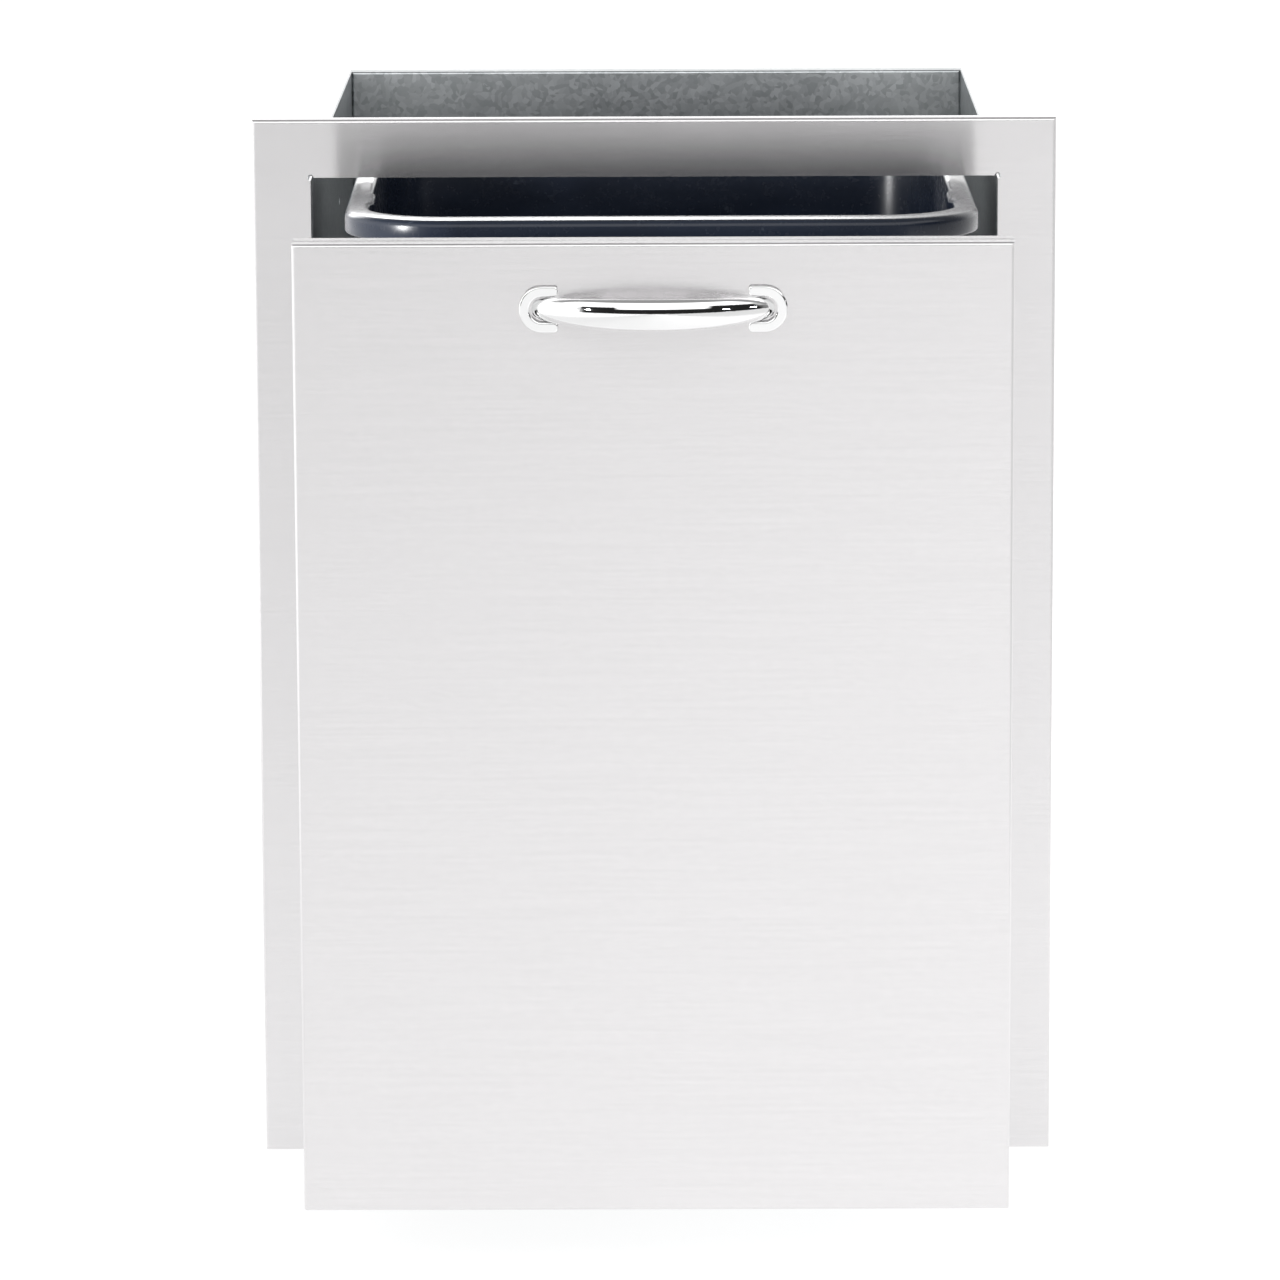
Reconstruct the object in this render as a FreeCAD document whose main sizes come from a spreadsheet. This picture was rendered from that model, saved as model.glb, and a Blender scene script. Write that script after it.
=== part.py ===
import FreeCAD, Part

import math
import os
import re

import Sketcher
from FreeCAD import Rotation, Vector

# A built-in pull-out trash drawer: a stainless face frame that closes a cut-out in an outdoor
# kitchen island, a galvanised housing behind it, and a drawer on full-extension ball-bearing
# slides that carries one tall plastic bin.
#
# Millimetres. The origin is the bottom centre of the face frame's rear edge, which is the plane
# of the island's face. +X is to the right seen from the front, the front faces -Y, +Z is up.
# Everything that moves is drawn with the drawer shut, and its Placement pulls it out.

SIZES = {
    # Face frame
    "frame_wide": 508,
    "frame_tall": 671.5,
    "frame_proud": 12,
    "frame_border": 36.8,
    "frame_bend": 2.2,
    "return_deep": 25,
    "relief_radius": 2.0,
    "skin_thick": 1.2,
    # Housing
    "house_deep": 590,
    "house_sheet": 1.2,
    "house_hem": 15,
    "house_overlap": 11.8,
    "sheet_bend": 1.6,
    "side_hole_radius": 2.5,
    "side_hole_pitch": 300,
    "side_hole_first": 85,
    "side_hole_top": 569,
    # Drawer front
    "front_gap": 3.4,
    "front_thick": 28,
    "front_bend": 2,
    "liner_hem": 12,
    "liner_slack": 0.1,
    "drawer_pull": 290,
    # Slides
    "slide_thick": 12.7,
    "slide_tall": 45.7,
    "slide_long": 550,
    "slide_start": 18,
    "slide_level": 150,
    "slide_gauge": 1.4,
    "slide_lip": 3.2,
    "race_gap": 4,
    "outer_member_reach": 9.5,
    "middle_member_start": 2.6,
    "middle_member_reach": 10.8,
    "drawer_member_start": 5.2,
    "cage_gauge": 0.5,
    "cage_long": 190,
    "outer_cage_start": 1.75,
    "outer_cage_reach": 7.75,
    "inner_cage_start": 4.35,
    "inner_cage_reach": 9,
    "outer_ball_line": 5,
    "inner_ball_line": 7,
    "ball_pitch": 22,
    "ball_play": 0.03,
    "ball_hole_play": 0.1,
    # Carrier under and beside the bin
    "carrier_floor_level": 46,
    "carrier_deep": 544,
    "carrier_front_top": 520,
    "carrier_rear_top": 262,
    "carrier_gusset_deep": 70,
    "carrier_flange": 20,
    "carrier_lip": 14,
    "brace_tall": 110,
    "bin_stop_tall": 24,
    # Bin
    "bin_wide": 390,
    "bin_deep": 410,
    "bin_front": 97,
    "bin_offset": 4,
    "bin_turn": 0.3,
    "bin_level": 631,
    "bin_wall": 2.5,
    "bin_corner": 62,
    "rim_side": 14,
    "rim_front": 20,
    "rim_skirt": 14,
    "bin_base_wide": 330,
    "bin_base_deep": 326,
    "bin_base_corner": 46,
    # Handle
    "handle_drop": 39,
    "handle_pitch": 128,
    "handle_half": 66,
    "handle_rise": 28,
    "handle_mid_tall": 18.6,
    "handle_end_tall": 12,
    "handle_mid_thick": 8,
    "handle_end_thick": 9,
    "horseshoe_centre": 65.7,
    "horseshoe_radius": 13.9,
    "horseshoe_slot": 7.6,
    "horseshoe_leg": 9.4,
    "horseshoe_thick": 4,
    "horseshoe_tip": 2.5,
    "horseshoe_edge": 1.1,
    # Fasteners and pads
    "rivet_radius": 2,
    "rivet_head_radius": 3.8,
    "rivet_head_thick": 1.1,
    "screw_radius": 2.5,
    "screw_head_radius": 4.6,
    "screw_head_thick": 2.6,
    "stop_reach": 11,
    "stop_tall": 26,
    "stop_deep": 20,
    "pad_radius": 4.5,
    "pad_thick": 3,
    "pad_clear": 0.3,
}

# Formulas that several pieces share, in terms of the sheet's sizes
OPEN_HALF = "(frame_wide / 2 - frame_border)"
OPEN_LOW = "frame_border"
OPEN_HIGH = "(frame_tall - frame_border)"
BAY_HALF = f"({OPEN_HALF} + skin_thick)"
BAY_LOW = f"({OPEN_LOW} - skin_thick)"
BAY_HIGH = f"({OPEN_HIGH} + skin_thick)"
RETURN_REAR = "(return_deep - frame_proud)"
HOUSE_FRONT = f"({RETURN_REAR} - house_overlap)"
HOUSE_REAR = "(house_deep + house_hem)"
FRONT_HALF = f"({OPEN_HALF} - front_gap)"
FRONT_LOW = f"({OPEN_LOW} + front_gap)"
FRONT_HIGH = f"({OPEN_HIGH} - front_gap)"
FRONT_REAR = "(front_thick - frame_proud)"
CARRIER_HALF = f"({BAY_HALF} - slide_thick)"
CARRIER_INSIDE = f"({CARRIER_HALF} - house_sheet)"
CARRIER_REAR = f"({FRONT_REAR} + carrier_deep)"
FLOOR_TOP = "(carrier_floor_level + house_sheet)"
SLIDE_END = "(slide_start + slide_long)"
BASE_MIDDLE = "(bin_front + bin_deep / 2 + (rim_front - rim_side) / 2)"
HANDLE_LEVEL = f"({FRONT_HIGH} - handle_drop)"
FOOT_HOLE_DEEP = "(0.55 * handle_end_thick)"
THROUGH_SIDES = (f"-{BAY_HALF} - 1", f"{BAY_HALF} + 1")
SIDES = (("left", -1), ("right", 1))

SIZE_NAME = re.compile(r"[a-z]+(_[a-z]+)+")
FACING_REAR = Rotation(Vector(0, 0, 1), Vector(0, 1, 0))
PLANE_ACROSS = {"X": "YZ_Plane", "Y": "XZ_Plane", "Z": "XY_Plane"}
START_POINT = 1
END_POINT = 2
CENTRE_POINT = 3
SKETCH_ORIGIN = -1

doc = FreeCAD.newDocument("TrashDrawer")
sheet = doc.addObject("Spreadsheet::Sheet", "Sizes")
for row, (alias, number) in enumerate(SIZES.items(), start=1):
    sheet.set(f"A{row}", alias.replace("_", " "))
    sheet.set(f"B{row}", str(number))
    sheet.setAlias(f"B{row}", alias)
doc.recompute()

subparts = []


# ---------------------------------------------------------------- drawing helpers

def bound(formula):
    """The formula with every size name pointed at the sheet."""
    return SIZE_NAME.sub(r"Sizes.\g<0>", str(formula))


def number_of(formula):
    """The value of a formula of sizes."""
    numbers = SIZE_NAME.sub(lambda found: f"({sheet.get(found.group())})", str(formula))
    return float(FreeCAD.Units.Quantity(numbers).Value)


def new_body(label):
    """An empty PartDesign body, entered in the list of sub-parts."""
    body = doc.addObject("PartDesign::Body", label)
    body.Label = label
    subparts.append(body)
    return body


def pull_out(piece, share=1):
    """Shift a piece by its share of the distance that the drawer stands open."""
    piece.setExpression("Placement.Base.y", bound(f"-{share} * drawer_pull"))


def new_sketch(body, axis, station):
    """A sketch across an axis: (Y, Z) points across X, (X, Z) across Y, (X, Y) across Z."""
    sketch = body.newObject("Sketcher::SketchObject", f"{body.Label}_sketch")
    plane = next(item for item in body.Origin.OriginFeatures if item.Role == PLANE_ACROSS[axis])
    sketch.AttachmentSupport = (plane, "")
    sketch.MapMode = "FlatFace"
    sign = -1 if axis == "Y" else 1
    sketch.setExpression("AttachmentOffset.Base.z", bound(f"{sign} * ({station})"))
    return sketch


def constrain(sketch, kind, references, formula):
    """One dimension of a sketch, bound to a formula."""
    index = sketch.addConstraint(Sketcher.Constraint(kind, *references, number_of(formula)))
    sketch.setExpression(f"Constraints[{index}]", bound(formula))


def pin_point(sketch, line, point, x, y):
    """Fix a point of the sketch at two distances from its origin."""
    constrain(sketch, "DistanceX", (SKETCH_ORIGIN, START_POINT, line, point), x)
    constrain(sketch, "DistanceY", (SKETCH_ORIGIN, START_POINT, line, point), y)


def draw_polygon(sketch, corners):
    """A closed outline through corners that are pairs of formulas."""
    first = sketch.GeometryCount
    spots = [Vector(number_of(x), number_of(y), 0) for x, y in corners]
    count = len(spots)
    for index in range(count):
        sketch.addGeometry(Part.LineSegment(spots[index], spots[(index + 1) % count]))
    for index in range(count):
        following = first + (index + 1) % count
        ends = (first + index, END_POINT, following, START_POINT)
        sketch.addConstraint(Sketcher.Constraint("Coincident", *ends))
    for index, (x, y) in enumerate(corners):
        pin_point(sketch, first + index, START_POINT, x, y)


def draw_rectangle(sketch, across, along):
    """A rectangle from two pairs of formulas, low and high."""
    (low_x, high_x), (low_y, high_y) = across, along
    draw_polygon(sketch, [(low_x, low_y), (high_x, low_y), (high_x, high_y), (low_x, high_y)])


def draw_circle(sketch, x, y, radius):
    """A circle whose centre and radius are formulas."""
    spot = Vector(number_of(x), number_of(y), 0)
    index = sketch.addGeometry(Part.Circle(spot, Vector(0, 0, 1), number_of(radius)))
    pin_point(sketch, index, CENTRE_POINT, x, y)
    constrain(sketch, "Radius", (index,), radius)


def draw_rounded_rectangle(sketch, half_x, low_y, high_y, radius):
    """A rectangle about the Y axis with four round corners, as arcs joined by tangent lines."""
    corners = [
        (f"({half_x}) - ({radius})", f"({high_y}) - ({radius})", 0),
        (f"({radius}) - ({half_x})", f"({high_y}) - ({radius})", 90),
        (f"({radius}) - ({half_x})", f"({low_y}) + ({radius})", 180),
        (f"({half_x}) - ({radius})", f"({low_y}) + ({radius})", 270),
    ]
    round_size = number_of(radius)
    arcs = []
    for x, y, turn in corners:
        circle = Part.Circle(Vector(number_of(x), number_of(y), 0), Vector(0, 0, 1), round_size)
        arc = Part.ArcOfCircle(circle, math.radians(turn), math.radians(turn + 90))
        arcs.append(sketch.addGeometry(arc))
    joins = []
    for index, arc in enumerate(arcs):
        following = arcs[(index + 1) % len(arcs)]
        start = sketch.Geometry[arc].EndPoint
        end = sketch.Geometry[following].StartPoint
        joins.append((arc, sketch.addGeometry(Part.LineSegment(start, end)), following))
    for arc, (x, y, turn) in zip(arcs, corners):
        pin_point(sketch, arc, CENTRE_POINT, x, y)
        constrain(sketch, "Radius", (arc,), radius)
    for arc, line, following in joins:
        sketch.addConstraint(Sketcher.Constraint("Tangent", arc, END_POINT, line, START_POINT))
        sketch.addConstraint(Sketcher.Constraint("Tangent", line, END_POINT, following, START_POINT))


def extrude(body, axis, start, end, draw, cut=False):
    """Add, or cut away, the drawn outline between two stations along an axis."""
    sketch = new_sketch(body, axis, start)
    draw(sketch)
    before = body.Shape.Volume if cut else 0
    feature = body.newObject("PartDesign::Pocket" if cut else "PartDesign::Pad", f"{body.Label}_feature")
    feature.Profile = sketch
    feature.setExpression("Length", bound(f"({end}) - ({start})"))
    feature.Reversed = (axis == "Y") != cut
    sketch.Visibility = False
    doc.recompute()
    if cut and not body.Shape.Volume < before:
        raise RuntimeError(f"{body.Label}: a cut removed nothing")


def block(body, across, along, up, cut=False):
    """A rectangular block, added or cut, from three pairs of formulas in X, Y and Z."""
    extrude(body, "Z", up[0], up[1], lambda sketch: draw_rectangle(sketch, across, along), cut)


def drill(body, axis, start, end, spots, radius):
    """Round holes through a body between two stations along an axis."""
    def draw(sketch):
        for x, y in spots:
            draw_circle(sketch, x, y, radius)
    extrude(body, axis, start, end, draw, cut=True)


def round_edges(body, radius, wanted):
    """Fillet the edges of a body that a test picks."""
    base = body.Tip
    names = [f"Edge{index}" for index, edge in enumerate(base.Shape.Edges, start=1) if wanted(edge)]
    if not names:
        raise RuntimeError(f"{body.Label}: no edge to round")
    fillet = body.newObject("PartDesign::Fillet", f"{body.Label}_fillet")
    fillet.Base = (base, names)
    fillet.setExpression("Radius", bound(radius))
    doc.recompute()


def runs_along(edge, axis):
    """Whether a straight edge is parallel to an axis."""
    if edge.Curve.TypeId != "Part::GeomLine":
        return False
    return abs(getattr(edge.Curve.Direction, axis.lower())) > 0.999


def lies_at(edge, axis, formula):
    """Whether the whole edge has one given coordinate."""
    station = number_of(formula)
    return all(abs(getattr(vertex.Point, axis.lower()) - station) < 0.01 for vertex in edge.Vertexes)


# ---------------------------------------------------------------- fasteners

def fastener(name, spot, turn, radius, long, head_radius, head_thick):
    """One headed fastener: its head starts at the spot, its shank runs back the other way."""
    shank = doc.addObject("Part::Cylinder", f"{name}_shank")
    shank.setExpression("Radius", bound(radius))
    shank.setExpression("Height", bound(long))
    shank.Placement.Base = Vector(0, 0, -number_of(long))
    shank.setExpression("Placement.Base.z", bound(f"-({long})"))
    head = doc.addObject("Part::Cone", f"{name}_head")
    head.setExpression("Radius1", bound(head_radius))
    head.setExpression("Radius2", bound(f"0.72 * ({head_radius})"))
    head.setExpression("Height", bound(head_thick))
    whole = doc.addObject("Part::Fuse", name)
    whole.Base = head
    whole.Tool = shank
    whole.Placement.Rotation = turn
    for axis, formula in zip("xyz", spot):
        whole.setExpression(f"Placement.Base.{axis}", bound(formula))
    return whole


def fastener_group(label, spots, turn, radius, long, head_radius, head_thick):
    """Identical fasteners as one sub-part of separate solids."""
    group = doc.addObject("Part::Compound", label)
    group.Label = label
    group.Links = [
        fastener(f"{label}_{index}", spot, turn, radius, long, head_radius, head_thick)
        for index, spot in enumerate(spots, start=1)
    ]
    subparts.append(group)
    return group


def rivet_group(label, spots, turn, grip):
    """Rivets whose shanks fill the holes of the sheets that they hold."""
    return fastener_group(label, spots, turn, "rivet_radius", grip,
                          "rivet_head_radius", "rivet_head_thick")


def facing_side(side):
    """The rotation that points a fastener's head to the left (-1) or the right (1)."""
    return Rotation(Vector(0, 0, 1), Vector(side, 0, 0))


def in_order(side, near, far):
    """A low and high pair from a station near the middle plane and one further out."""
    return (near, far) if side > 0 else (far, near)


def evenly(first, last, count):
    """Formulas of stations spread evenly from first to last."""
    return [f"({first}) + {index} / {count - 1} * (({last}) - ({first}))" for index in range(count)]


FRAME_RIVET_LEVELS = evenly(f"{OPEN_LOW} + 60", f"{OPEN_HIGH} - 60", 4)
FRAME_RIVET_STATION = f"{RETURN_REAR} - 5"
BACK_RIVET_LEVELS = evenly(f"{OPEN_LOW} + 40", f"{OPEN_HIGH} - 40", 5)
BACK_RIVET_STATION = f"{HOUSE_REAR} - house_hem / 2"
FLOOR_RIVET_STATIONS = evenly("80", "house_deep - 80", 4)
FLOOR_RIVET_LEVEL = f"{BAY_LOW} + house_hem / 2 + 1"
SLIDE_RIVET_STATIONS = evenly("slide_start + 40", f"{SLIDE_END} - 40", 4)
STOP_LEVELS = ("230", "560")
STOP_RIVET_STATION = f"{FRONT_REAR} + pad_clear + pad_thick + stop_deep / 2 + 2"


# ---------------------------------------------------------------- face frame and housing

def make_face_frame():
    """The stainless trim: outer edges bent back to the island, opening bent in as a return."""
    body = new_body("face_frame")
    half = "frame_wide / 2"
    block(body, (f"-{half}", half), ("-frame_proud", "0"), ("0", "frame_tall"))
    round_edges(body, "frame_bend", lambda edge: lies_at(edge, "Y", "-frame_proud"))
    inner = f"{half} - skin_thick"
    block(body, (f"-({inner})", inner), ("skin_thick - frame_proud", "0"),
          ("skin_thick", "frame_tall - skin_thick"), cut=True)
    block(body, (f"-{BAY_HALF}", BAY_HALF), ("skin_thick / 2 - frame_proud", RETURN_REAR),
          (BAY_LOW, BAY_HIGH))
    block(body, (f"-{OPEN_HALF}", OPEN_HALF), ("-frame_proud - 1", f"{RETURN_REAR} + 1"),
          (OPEN_LOW, OPEN_HIGH), cut=True)
    corners = [(f"{side} * {OPEN_HALF}", level) for side in (-1, 1) for level in (OPEN_LOW, OPEN_HIGH)]
    drill(body, "Y", "-frame_proud - 1", f"{RETURN_REAR} + 1", corners, "relief_radius")
    spots = [(FRAME_RIVET_STATION, level) for level in FRAME_RIVET_LEVELS]
    drill(body, "X", *THROUGH_SIDES, spots, "rivet_radius")


def make_side_panel(name, side):
    """A flat galvanised side with the holes that its rivets and the island's screws use."""
    body = new_body(f"{name}_side_panel")
    low, high = in_order(side, f"{side} * {BAY_HALF}", f"{side} * ({BAY_HALF} + house_sheet)")
    block(body, (low, high), (HOUSE_FRONT, HOUSE_REAR), (f"{BAY_LOW} - house_sheet", BAY_HIGH))
    holes = [(FRAME_RIVET_STATION, level) for level in FRAME_RIVET_LEVELS]
    holes += [(BACK_RIVET_STATION, level) for level in BACK_RIVET_LEVELS]
    holes += [(station, FLOOR_RIVET_LEVEL) for station in FLOOR_RIVET_STATIONS]
    holes += [(station, "slide_level") for station in SLIDE_RIVET_STATIONS]
    holes += [(STOP_RIVET_STATION, level) for level in STOP_LEVELS]
    drill(body, "X", low, high, holes, "rivet_radius")
    screws = [
        (f"side_hole_first + {column} * side_hole_pitch", f"side_hole_top - {row} * side_hole_pitch")
        for column in (0, 1)
        for row in (0, 1)
    ]
    drill(body, "X", low, high, screws, "side_hole_radius")


def make_back_panel():
    """The rear sheet, bent back along all four edges."""
    body = new_body("back_panel")
    block(body, (f"-{BAY_HALF}", BAY_HALF), ("house_deep", HOUSE_REAR), (BAY_LOW, BAY_HIGH))
    round_edges(body, "sheet_bend", lambda edge: lies_at(edge, "Y", "house_deep"))
    inside = f"{BAY_HALF} - house_sheet"
    block(body, (f"-({inside})", inside), ("house_deep + house_sheet", f"{HOUSE_REAR} + 1"),
          (f"{BAY_LOW} + house_sheet", f"{BAY_HIGH} - house_sheet"), cut=True)
    spots = [(BACK_RIVET_STATION, level) for level in BACK_RIVET_LEVELS]
    drill(body, "X", *THROUGH_SIDES, spots, "rivet_radius")


def make_floor_pan():
    """The housing's floor, flat underneath, its side edges turned up inside the side panels."""
    body = new_body("floor_pan")
    low = f"{BAY_LOW} - house_sheet"
    block(body, (f"-{BAY_HALF}", BAY_HALF), (HOUSE_FRONT, HOUSE_REAR), (low, BAY_LOW))
    for side in (-1, 1):
        across = in_order(side, f"{side} * ({BAY_HALF} - house_sheet)", f"{side} * {BAY_HALF}")
        block(body, across, (f"{RETURN_REAR} + 1", "house_deep - 1"), (low, f"{BAY_LOW} + house_hem"))
    spots = [(station, FLOOR_RIVET_LEVEL) for station in FLOOR_RIVET_STATIONS]
    drill(body, "X", *THROUGH_SIDES, spots, "rivet_radius")


def make_housing_rivets(name, side):
    """Rivets of one side: face frame, back panel and floor pan to the side panel."""
    outside = f"{side} * ({BAY_HALF} + house_sheet)"
    spots = [(outside, FRAME_RIVET_STATION, level) for level in FRAME_RIVET_LEVELS]
    spots += [(outside, BACK_RIVET_STATION, level) for level in BACK_RIVET_LEVELS]
    spots += [(outside, station, FLOOR_RIVET_LEVEL) for station in FLOOR_RIVET_STATIONS]
    rivet_group(f"{name}_housing_rivets", spots, facing_side(side), "house_sheet + skin_thick")


def make_stop_brackets(name, side):
    """Two angle brackets behind the opening's edge that stop the shutting drawer."""
    face = f"{FRONT_REAR} + pad_clear + pad_thick"
    wall, edge = f"{side} * {BAY_HALF}", f"{side} * ({BAY_HALF} - stop_reach)"
    foot = f"{side} * ({BAY_HALF} - house_sheet)"
    for place, level in zip(("lower", "upper"), STOP_LEVELS):
        body = new_body(f"{name}_{place}_stop_bracket")
        low, high = f"{level} - stop_tall / 2", f"{level} + stop_tall / 2"
        outline = [
            (wall, face),
            (edge, face),
            (edge, f"{face} + house_sheet"),
            (foot, f"{face} + house_sheet"),
            (foot, f"{face} + stop_deep"),
            (wall, f"{face} + stop_deep"),
        ]
        extrude(body, "Z", low, high, lambda sketch: draw_polygon(sketch, outline))
        drill(body, "X", *THROUGH_SIDES, [(STOP_RIVET_STATION, level)], "rivet_radius")
    spots = [(f"{side} * ({BAY_HALF} + house_sheet)", STOP_RIVET_STATION, level) for level in STOP_LEVELS]
    rivet_group(f"{name}_stop_rivets", spots, facing_side(side), "2 * house_sheet")


def make_bumper_pads():
    """Four rubber pads on the stop brackets, just short of the shut drawer front."""
    pads = []
    for name, side in SIDES:
        for place, level in zip(("lower", "upper"), STOP_LEVELS):
            pad = doc.addObject("Part::Cylinder", f"{name}_{place}_pad")
            pad.setExpression("Radius", bound("pad_radius"))
            pad.setExpression("Height", bound("pad_thick"))
            pad.Placement.Rotation = FACING_REAR
            pad.setExpression("Placement.Base.x", bound(f"{side} * ({BAY_HALF} - stop_reach / 2)"))
            pad.setExpression("Placement.Base.y", bound(f"{FRONT_REAR} + pad_clear"))
            pad.setExpression("Placement.Base.z", bound(level))
            pads.append(pad)
    group = doc.addObject("Part::Compound", "bumper_pads")
    group.Label = "bumper_pads"
    group.Links = pads
    subparts.append(group)


# ---------------------------------------------------------------- slides

def roll_channel(body, side, outline, front="slide_start", rear=SLIDE_END):
    """A strip rolled to an outline of (distance in from the side panel, height) pairs.

    The outline gives the upper half, and the lower half mirrors it about the slide's level.
    """
    lines = [f"{side} * ({BAY_HALF} - ({inward}))" for inward, height in outline]
    heights = [height for inward, height in outline]
    upper = [(line, f"slide_level + {height}") for line, height in zip(lines, heights)]
    lower = [(line, f"slide_level - {height}") for line, height in zip(lines, heights)]
    extrude(body, "Y", front, rear, lambda sketch: draw_polygon(sketch, upper + lower[::-1]))


RACE_ONE = "(slide_tall / 2 - slide_gauge)"
RACE_TWO = f"({RACE_ONE} - race_gap)"
RACE_THREE = f"({RACE_TWO} - slide_gauge)"
RACE_FOUR = f"({RACE_THREE} - race_gap)"
OUTER_BALL_HEIGHT = f"({RACE_ONE} - race_gap / 2)"
INNER_BALL_HEIGHT = f"({RACE_THREE} - race_gap / 2)"
CAGE_MIDDLE = "(slide_start + slide_long / 2)"
BALLS_IN_ROW = 8


def make_cabinet_member(name, side):
    """The member riveted to the housing, with lips that hold the outer balls."""
    body = new_body(f"{name}_slide_cabinet_member")
    roll_channel(body, side, [
        ("slide_gauge", RACE_ONE),
        ("outer_member_reach - slide_gauge", RACE_ONE),
        ("outer_member_reach - slide_gauge", "(slide_tall / 2 - slide_lip)"),
        ("outer_member_reach", "(slide_tall / 2 - slide_lip)"),
        ("outer_member_reach", "slide_tall / 2"),
        ("0", "slide_tall / 2"),
    ])
    spots = [(station, "slide_level") for station in SLIDE_RIVET_STATIONS]
    drill(body, "X", *THROUGH_SIDES, spots, "rivet_radius")
    outside = f"{side} * ({BAY_HALF} + house_sheet)"
    heads = [(outside, station, "slide_level") for station in SLIDE_RIVET_STATIONS]
    rivet_group(f"{name}_slide_cabinet_rivets", heads, facing_side(side), "house_sheet + slide_gauge")


def make_middle_member(name, side):
    """The member between the two rows of balls. It moves half as far as the drawer."""
    body = new_body(f"{name}_slide_middle_member")
    roll_channel(body, side, [
        ("middle_member_start + slide_gauge", RACE_THREE),
        ("middle_member_reach - slide_gauge", RACE_THREE),
        ("middle_member_reach - slide_gauge", f"({RACE_TWO} - slide_lip + 0.2)"),
        ("middle_member_reach", f"({RACE_TWO} - slide_lip + 0.2)"),
        ("middle_member_reach", RACE_TWO),
        ("middle_member_start", RACE_TWO),
    ])
    pull_out(body, 0.5)


def make_drawer_member(name, side):
    """The member riveted to the drawer's carrier."""
    body = new_body(f"{name}_slide_drawer_member")
    roll_channel(body, side, [
        ("slide_thick - slide_gauge", f"({RACE_FOUR} - slide_gauge)"),
        ("drawer_member_start", f"({RACE_FOUR} - slide_gauge)"),
        ("drawer_member_start", RACE_FOUR),
        ("slide_thick", RACE_FOUR),
    ])
    spots = [(station, "slide_level") for station in SLIDE_RIVET_STATIONS]
    drill(body, "X", *THROUGH_SIDES, spots, "rivet_radius")
    pull_out(body)
    inside = f"{side} * ({CARRIER_HALF} - house_sheet)"
    heads = [(inside, station, "slide_level") for station in SLIDE_RIVET_STATIONS]
    grip = "house_sheet + slide_gauge"
    pull_out(rivet_group(f"{name}_slide_drawer_rivets", heads, facing_side(-side), grip))


def make_ball_cage(name, side, place, start, reach, ball_line, ball_height, share):
    """A ball retainer strip with its two rows of balls, as two sub-parts."""
    body = new_body(f"{name}_{place}_ball_cage")
    tab_low, tab_high = f"({ball_height} - cage_gauge / 2)", f"({ball_height} + cage_gauge / 2)"
    outline = [(f"{start} + cage_gauge", tab_low), (reach, tab_low), (reach, tab_high), (start, tab_high)]
    roll_channel(body, side, outline, f"{CAGE_MIDDLE} - cage_long / 2", f"{CAGE_MIDDLE} + cage_long / 2")
    line = f"{side} * ({BAY_HALF} - {ball_line})"
    middle_ball = (BALLS_IN_ROW - 1) / 2
    stations = [f"{CAGE_MIDDLE} + {index - middle_ball} * ball_pitch" for index in range(BALLS_IN_ROW)]
    drill(body, "Z", "slide_level - slide_tall / 2", "slide_level + slide_tall / 2",
          [(line, station) for station in stations], "race_gap / 2 - ball_play + ball_hole_play")
    pull_out(body, share)
    balls = []
    for row, sign in (("upper", 1), ("lower", -1)):
        for index, station in enumerate(stations, start=1):
            ball = doc.addObject("Part::Sphere", f"{name}_{place}_{row}_ball_{index}")
            ball.setExpression("Radius", bound("race_gap / 2 - ball_play"))
            ball.setExpression("Placement.Base.x", bound(line))
            ball.setExpression("Placement.Base.y", bound(station))
            ball.setExpression("Placement.Base.z", bound(f"slide_level + {sign} * {ball_height}"))
            balls.append(ball)
    group = doc.addObject("Part::Compound", f"{name}_{place}_balls")
    group.Label = f"{name}_{place}_balls"
    group.Links = balls
    pull_out(group, share)
    subparts.append(group)


# ---------------------------------------------------------------- drawer

CARRIER_SCREW_LEVELS = evenly("carrier_floor_level + 60", "carrier_front_top - 40", 3)
CARRIER_SCREW_LINE = f"({CARRIER_HALF} - carrier_flange / 2 - 1)"
FRONT_FACE = "-frame_proud"


def make_drawer_front():
    """The flush stainless front: one sheet with all four edges bent back as a shallow box."""
    body = new_body("drawer_front_skin")
    block(body, (f"-{FRONT_HALF}", FRONT_HALF), (FRONT_FACE, FRONT_REAR), (FRONT_LOW, FRONT_HIGH))
    round_edges(body, "front_bend", lambda edge: lies_at(edge, "Y", FRONT_FACE))
    inside = f"{FRONT_HALF} - skin_thick"
    block(body, (f"-({inside})", inside), (f"{FRONT_FACE} + skin_thick", f"{FRONT_REAR} + 1"),
          (f"{FRONT_LOW} + skin_thick", f"{FRONT_HIGH} - skin_thick"), cut=True)
    holes = [(f"{side} * handle_pitch / 2", HANDLE_LEVEL) for side in (-1, 1)]
    drill(body, "Y", f"{FRONT_FACE} - 1", f"{FRONT_FACE} + skin_thick + 1", holes, "rivet_radius")
    pull_out(body)


def make_drawer_liner():
    """The inner sheet that closes the front's back, its edges bent forward into the front."""
    body = new_body("drawer_front_liner")
    half = f"{FRONT_HALF} - skin_thick - liner_slack"
    low, high = f"{FRONT_LOW} + skin_thick + liner_slack", f"{FRONT_HIGH} - skin_thick - liner_slack"
    block(body, (f"-({half})", half), (f"{FRONT_REAR} - liner_hem", FRONT_REAR), (low, high))
    inside = f"{half} - house_sheet"
    block(body, (f"-({inside})", inside),
          (f"{FRONT_REAR} - liner_hem - 1", f"{FRONT_REAR} - house_sheet"),
          (f"{low} + house_sheet", f"{high} - house_sheet"), cut=True)
    lines = [f"{side} * {CARRIER_SCREW_LINE}" for side in (-1, 1)]
    holes = [(line, level) for line in lines for level in CARRIER_SCREW_LEVELS]
    drill(body, "Y", f"{FRONT_REAR} - 2 * house_sheet", f"{FRONT_REAR} + 1", holes, "screw_radius")
    pull_out(body)


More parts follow.
